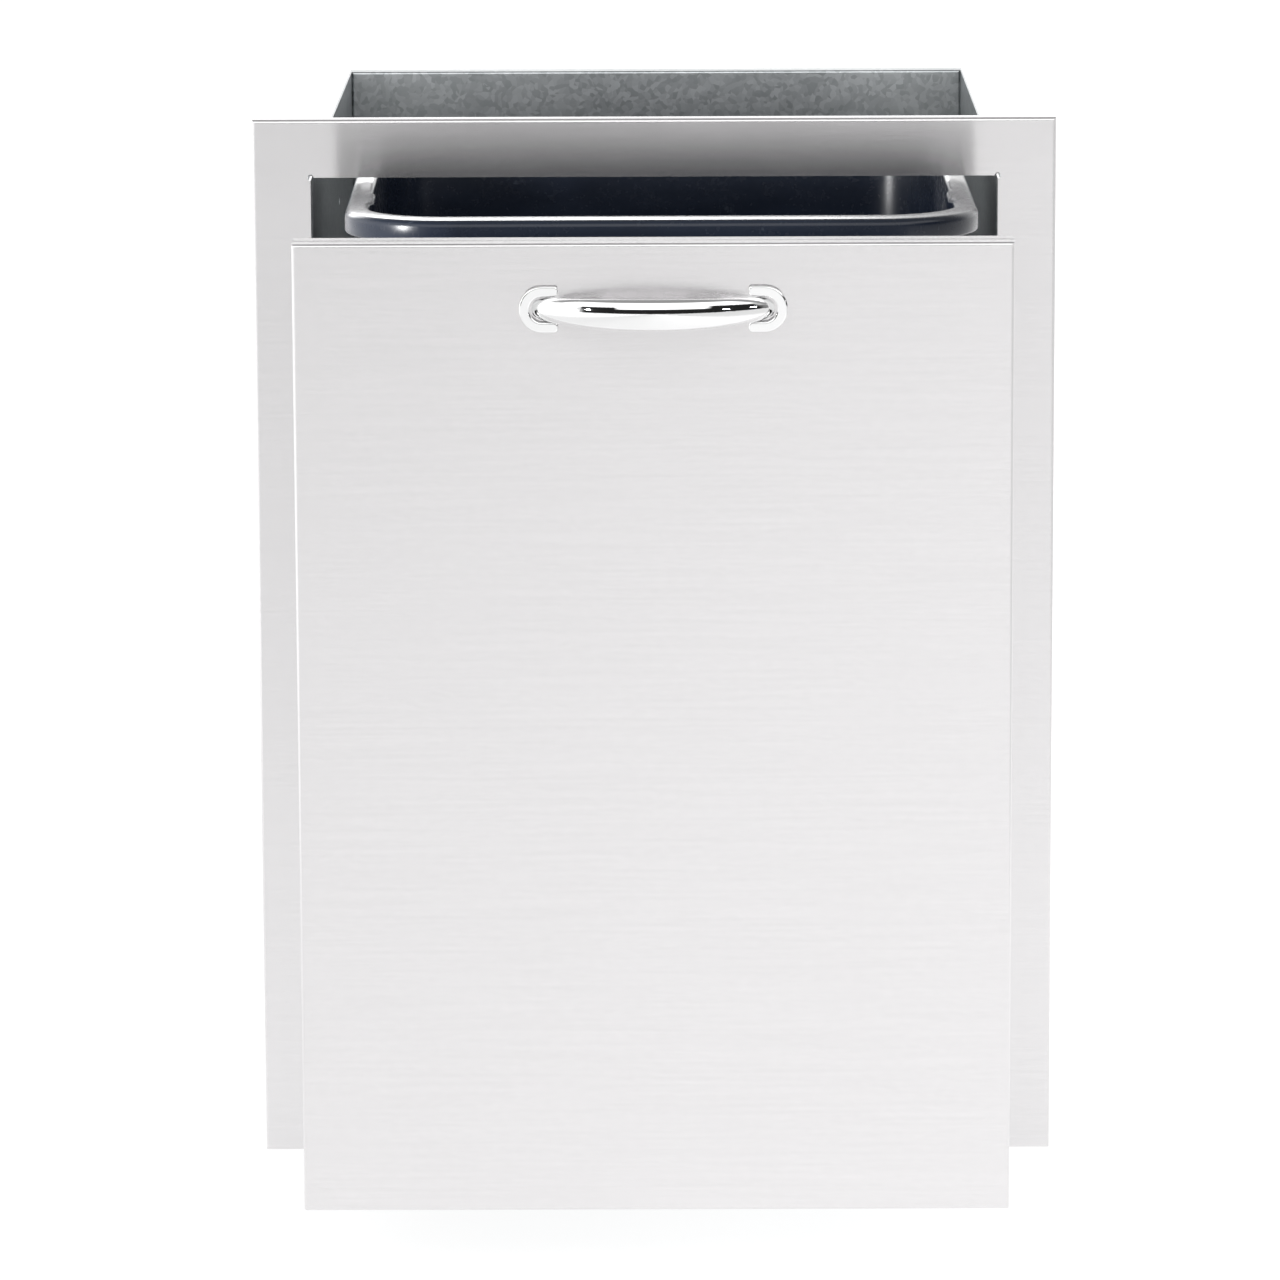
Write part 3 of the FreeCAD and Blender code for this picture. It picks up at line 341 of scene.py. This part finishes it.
def new_piece(name, points, faces, material, body):
    """A smooth mesh that rides on a CAD body."""
    mesh = bpy.data.meshes.new(name)
    mesh.from_pydata(points, [], faces)
    mesh.validate()
    mesh.shade_smooth()
    mesh.materials.append(material)
    piece = bpy.data.objects.new(name, mesh)
    bpy.context.scene.collection.objects.link(piece)
    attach(piece, body)
    return piece


ARC_STEPS, SIDE_STEPS = 12, 48


def rounded_outline(half, low, high, corner, level, inward=None):
    """Points round a rounded rectangle, anticlockwise, at one level."""
    points = []
    corners = ((half - corner, high - corner), (corner - half, high - corner),
               (corner - half, low + corner), (half - corner, low + corner))
    for index, (x, y) in enumerate(corners):
        for step in range(ARC_STEPS + 1):
            angle = math.pi / 2 * (index + step / ARC_STEPS)
            points.append((x + corner * math.cos(angle), y + corner * math.sin(angle)))
        after = corners[(index + 1) % 4]
        angle = math.pi / 2 * (index + 1)
        start = points[-1]
        end = (after[0] + corner * math.cos(angle), after[1] + corner * math.sin(angle))
        for step in range(1, SIDE_STEPS):
            share = step / SIDE_STEPS
            points.append((start[0] + share * (end[0] - start[0]),
                           start[1] + share * (end[1] - start[1])))
    if inward:
        points = [(x - math.copysign(inward(y), x), y) for x, y in points]
    return [(x, y, level) for x, y in points]


def join_rings(rings):
    """Faces between each ring of points and the next, and across both ends."""
    count = len(rings[0])
    faces = []
    for ring in range(len(rings) - 1):
        for index in range(count):
            after = (index + 1) % count
            faces.append((ring * count + index, ring * count + after,
                          (ring + 1) * count + after, (ring + 1) * count + index))
    last = (len(rings) - 1) * count
    faces.append(tuple(range(count - 1, -1, -1)))
    faces.append(tuple(range(last, last + count)))
    return faces


def smooth_step(value, low, high):
    """0 up to low and 1 from high on, with a soft start and end."""
    share = min(1, max(0, (value - low) / (high - low)))
    return share * share * (3 - 2 * share)


# ---------------------------------------------------------------- bin

BIN_TURN = math.radians(0.3)
RIM_HALF_WIDE, RIM_HALF_DEEP, RIM_CORNER = 0.1948, 0.2048, 0.062
RIM_SIDE, RIM_FRONT, RIM_SKIRT, WALL = 0.0145, 0.0205, 0.014, 0.0025
OUTER_ROLL, INNER_ROLL, RIM_CROWN, RIM_FLAT_INSET = 0.0045, 0.0030, 0.0004, 0.008
BASE_HALF_WIDE, BASE_HALF_DEEP, BASE_CORNER = 0.165, 0.163, 0.046
FOOT_ROUND, FOOT_FLAT, HOLLOW_DEEP, HOLLOW_EASE = 0.008, 0.004, 0.002, 0.006
INNER_ROUND, INNER_FLOOR, INNER_FLOOR_SHARE = 0.010, 0.003, 0.02
GRIP_REAR, GRIP_FRONT, GRIP_STEP, GRIP_EASE = -0.066, -0.115, 0.0022, 0.006
GRIP_DEEP, GRIP_END = 0.009, 0.012
MOUTH_SHIFT = (RIM_FRONT - RIM_SIDE) / 2

# How far in from the rim's outer side, and how far below its top: from the rim's underside, down
# the skirt's inner side, round its lower edge and up to its outer side.
SKIRT_OUTLINE = ((0.0075, 0.0035), (0.0035, 0.0045), (0.0026, 0.0065), (0.0026, RIM_SKIRT - 0.001),
                 (0.0020, RIM_SKIRT), (0.0006, RIM_SKIRT), (0.0, RIM_SKIRT - 0.001))

# How far up the tub, from its base to its mouth, the rings of its walls stand.
OUTER_SHARES = (0.1, 0.3, 0.5, 0.7, 0.9)
INNER_SHARES = (0.97, 0.9, 0.7, 0.5, 0.3, 0.1)
NECK_SHARE, NECK_DROP = 0.985, 0.0045


def grip(y):
    """How far the rim reaches further in, beside the two hand grips."""
    return GRIP_STEP * (smooth_step(y, GRIP_FRONT, GRIP_FRONT + GRIP_EASE)
                        - smooth_step(y, GRIP_REAR - GRIP_EASE, GRIP_REAR))


def wall_ring(share, inset, level):
    """A ring of the tub's wall, share of the way from its base to its mouth."""
    def between(base, mouth):
        return base + share * (mouth - base)
    half = between(BASE_HALF_WIDE, RIM_HALF_WIDE - RIM_SIDE + WALL)
    front = between(MOUTH_SHIFT - BASE_HALF_DEEP, RIM_FRONT - RIM_HALF_DEEP - WALL)
    rear = between(MOUTH_SHIFT + BASE_HALF_DEEP, RIM_HALF_DEEP - RIM_SIDE + WALL)
    corner = between(BASE_CORNER, RIM_CORNER - RIM_SIDE + WALL)
    return rounded_outline(half - inset, front + inset, rear - inset, corner - inset, level)


def rim_ring(inset, level):
    """A ring of the rim's outer side."""
    return rounded_outline(RIM_HALF_WIDE - inset, inset - RIM_HALF_DEEP,
                           RIM_HALF_DEEP - inset, RIM_CORNER - inset, level)


def mouth_ring(outset, level, inward=grip):
    """A ring of the rim's inner edge."""
    return rounded_outline(RIM_HALF_WIDE - RIM_SIDE + outset,
                           RIM_FRONT - outset - RIM_HALF_DEEP,
                           RIM_HALF_DEEP - RIM_SIDE + outset,
                           RIM_CORNER - RIM_SIDE + outset, level, inward)


def quarter(steps, radius):
    """Points of a quarter circle, measured from the two lines that it touches."""
    angles = [math.pi / 2 * step / steps for step in range(steps + 1)]
    return [(radius * (1 - math.sin(angle)), radius * (1 - math.cos(angle))) for angle in angles]


def outer_rings(floor, top):
    """From the hollow under the base, round the foot and up the wall."""
    foot = FOOT_ROUND + FOOT_FLAT
    hollow = foot + HOLLOW_DEEP
    rings = [wall_ring(0, hollow + HOLLOW_EASE, floor + HOLLOW_DEEP),
             wall_ring(0, hollow, floor + HOLLOW_DEEP),
             wall_ring(0, foot, floor)]
    rings += [wall_ring(0, across, floor + rise) for across, rise in quarter(4, FOOT_ROUND)]
    rings += [wall_ring(share, 0, floor + share * (top - floor)) for share in OUTER_SHARES]
    rings.append(wall_ring(NECK_SHARE, 0, top - NECK_DROP))
    return rings


def rim_rings(top):
    """Down the skirt, up its outer side and over the rim to the hand grips."""
    rings = [rim_ring(inset, top - drop) for inset, drop in SKIRT_OUTLINE]
    rings += [rim_ring(across, top - RIM_CROWN - drop) for drop, across in quarter(6, OUTER_ROLL)]
    rings.append(rim_ring(RIM_FLAT_INSET, top))
    rings += [mouth_ring(across, top - drop) for across, drop in quarter(6, INNER_ROLL)]
    rings.append(mouth_ring(0, top - GRIP_DEEP))
    rings.append(mouth_ring(0, top - GRIP_END, None))
    return rings


def inner_rings(floor, top):
    """Down the inside of the wall to the tub's floor."""
    rings = [wall_ring(share, WALL, floor + share * (top - floor)) for share in INNER_SHARES]
    rings += [wall_ring(INNER_FLOOR_SHARE, WALL + across, floor + INNER_FLOOR + rise)
              for rise, across in quarter(4, INNER_ROUND)]
    return rings


def make_bin(material):
    """The lift-out bin: a tapered tub whose rim rolls out and down into a skirt."""
    low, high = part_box("bin")
    middle = (low + high) / 2
    rings = outer_rings(low.z, high.z) + rim_rings(high.z) + inner_rings(low.z, high.z)
    place = Matrix.Translation((middle.x, middle.y, 0)) @ Matrix.Rotation(BIN_TURN, 4, "Z")
    points = [place @ Vector(point) for ring in rings for point in ring]
    piece = new_piece("bin_tub", points, join_rings(rings), material, "drawer")
    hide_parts("bin")
    return piece


# ---------------------------------------------------------------- studio

FLOOR_HALF = 30
FLOOR_GAP = 0.0005
# The middle of the object's upper part, which most of the lights face.
TOP_MIDDLE = (0, 0, 0.6)


def add_floor(material):
    """A pale floor, far wider than the view."""
    mesh = bpy.data.meshes.new("floor")
    level = cad_box[0].z - FLOOR_GAP
    corners = [(x * FLOOR_HALF, y * FLOOR_HALF, level)
               for x, y in ((-1, -1), (1, -1), (1, 1), (-1, 1))]
    mesh.from_pydata(corners, [], [(0, 1, 2, 3)])
    mesh.materials.append(material)
    floor = bpy.data.objects.new("floor", mesh)
    bpy.context.scene.collection.objects.link(floor)


def add_light(name, place, aim, wide, tall, power, lit_pieces):
    """A soft box at place that faces aim and lights only the given pieces."""
    data = bpy.data.lights.new(name, "AREA")
    data.shape = "RECTANGLE"
    data.size, data.size_y = wide, tall
    data.energy = power
    light = bpy.data.objects.new(name, data)
    bpy.context.scene.collection.objects.link(light)
    light.location = place
    light.rotation_euler = (Vector(aim) - Vector(place)).to_track_quat("-Z", "Y").to_euler()
    group = bpy.data.collections.new(name)
    for piece in lit_pieces:
        group.objects.link(piece)
    light.light_linking.receiver_collection = group


# Bounds on a direction's unit vector, each with the two values that its soft edge lies between.
DARK_END_TOP = (0.22, 0.25)
DARK_END_LEFT = (-0.82, -0.76)
LEFT_FLAG_RIGHT = (-0.46, -0.40)
LEFT_FLAG_TOP = (0.36, 0.42)
RIGHT_FLAG_LEFT = (0.58, 0.66)
RIGHT_FLAG_TOP = (0.42, 0.48)
FRONT_HALF = (-0.15, 0.0)
FRONT_BOX_LOW, FRONT_BOX_TOP = (0.24, 0.28), (0.75, 0.85)
SIDE_BOX_RIGHT = (-0.9, -0.7)
REAR_BOX_FRONT, REAR_BOX_TOP = (0.3, 0.6), (0.58, 0.66)
SKY_LEVEL, BOX_LEVEL, REAR_BOX_LEVEL, DARK_LEVEL = 0.35, 1.9, 1.4, 0.02


def add_sky():
    """A soft sky with bright boxes, and dark flags and a dark end behind the camera."""
    world = bpy.data.worlds.new("studio")
    bpy.context.scene.world = world
    world.use_nodes = True
    tree = world.node_tree
    background = tree.nodes["Background"]

    def joined(kind, inputs, **settings):
        node = tree.nodes.new(kind)
        for setting, value in settings.items():
            setattr(node, setting, value)
        for index, value in inputs.items():
            if isinstance(value, bpy.types.NodeSocket):
                tree.links.new(value, node.inputs[index])
            else:
                node.inputs[index].default_value = value
        return node

    def above(value, edge):
        """0 below the edge and 1 above it."""
        return joined("ShaderNodeMapRange", {0: value, 1: edge[0], 2: edge[1]}).outputs[0]

    def below(value, edge):
        """1 below the edge and 0 above it."""
        return joined("ShaderNodeMapRange", {0: value, 1: edge[1], 2: edge[0]}).outputs[0]

    def both(first, second):
        return joined("ShaderNodeMath", {0: first, 1: second}, operation="MULTIPLY").outputs[0]

    def either(first, second):
        return joined("ShaderNodeMath", {0: first, 1: second}, operation="MAXIMUM").outputs[0]

    heading = tree.nodes.new("ShaderNodeTexCoord").outputs["Generated"]
    split = joined("ShaderNodeSeparateXYZ", {0: heading})
    across, depth, height = (split.outputs[axis] for axis in "XYZ")

    front = below(depth, FRONT_HALF)
    inside_left = above(across, DARK_END_LEFT)
    dark_end = both(below(height, DARK_END_TOP), inside_left)
    left_flag = both(both(inside_left, below(across, LEFT_FLAG_RIGHT)),
                     below(height, LEFT_FLAG_TOP))
    right_flag = both(above(across, RIGHT_FLAG_LEFT), below(height, RIGHT_FLAG_TOP))
    dark = both(either(either(left_flag, right_flag), dark_end), front)

    front_box = both(front, both(above(height, FRONT_BOX_LOW), below(height, FRONT_BOX_TOP)))
    side_box = below(across, SIDE_BOX_RIGHT)
    rear_box = both(above(depth, REAR_BOX_FRONT), below(height, REAR_BOX_TOP))
    boxes = joined("ShaderNodeMapRange", {0: either(front_box, side_box), 1: 0, 2: 1,
                                          3: SKY_LEVEL, 4: BOX_LEVEL}).outputs[0]
    lit = either(boxes, both(rear_box, REAR_BOX_LEVEL))
    level = joined("ShaderNodeMix", {0: dark, 2: lit, 3: DARK_LEVEL})
    tree.links.new(level.outputs[0], background.inputs["Strength"])
    background.inputs["Color"].default_value = (1, 1, 1, 1)


def add_lights(tub):
    """Soft boxes for the highlights in the handle, on the bin and inside the housing."""
    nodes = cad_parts
    handle = [nodes[name] for name in ("handle_bar", "left_handle_horseshoe",
                                       "right_handle_horseshoe")]
    sheets = [nodes[name] for name in ("back_panel", "left_side_panel", "right_side_panel")]
    add_light("lamp", (-3.2, -3.2, 1.35), TOP_MIDDLE, 0.22, 0.22, 14, handle)
    add_light("strip", (-3.4, -3.1, 1.0), (0, -0.2, 0.6), 0.2, 1.6, 400, [tub])
    add_light("backlight", (-1.2, 3.0, 1.9), TOP_MIDDLE, 3.0, 1.4, 68, [tub])
    add_light("loft", (0, -3.0, 0.95), (0, 0.6, 0.63), 5.0, 0.5, 32, sheets)
    add_light("window", (4.2, -3.4, 1.4), TOP_MIDDLE, 0.5, 0.16, 6, handle)
    add_light("far_window", (5.0, -1.5, 1.4), TOP_MIDDLE, 0.5, 0.16, 6, handle)


# ---------------------------------------------------------------- scene

add_camera()
bpy.context.scene.view_settings.view_transform = "Standard"
MAKERS = (stainless, galvanised, chrome, bin_plastic, slide_zinc, ball_steel, fastener_steel,
          pad_rubber)
finishes = {maker.__name__: maker() for maker in MAKERS}
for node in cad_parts.values():
    for held in node.material_slots:
        held.material = finishes[held.material.name.split(".")[0]]
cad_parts["drawer_front_liner"].material_slots[0].material = mill_sheet()
tub = make_bin(finishes["bin_plastic"])
add_floor(floor_paint())
add_sky()
add_lights(tub)
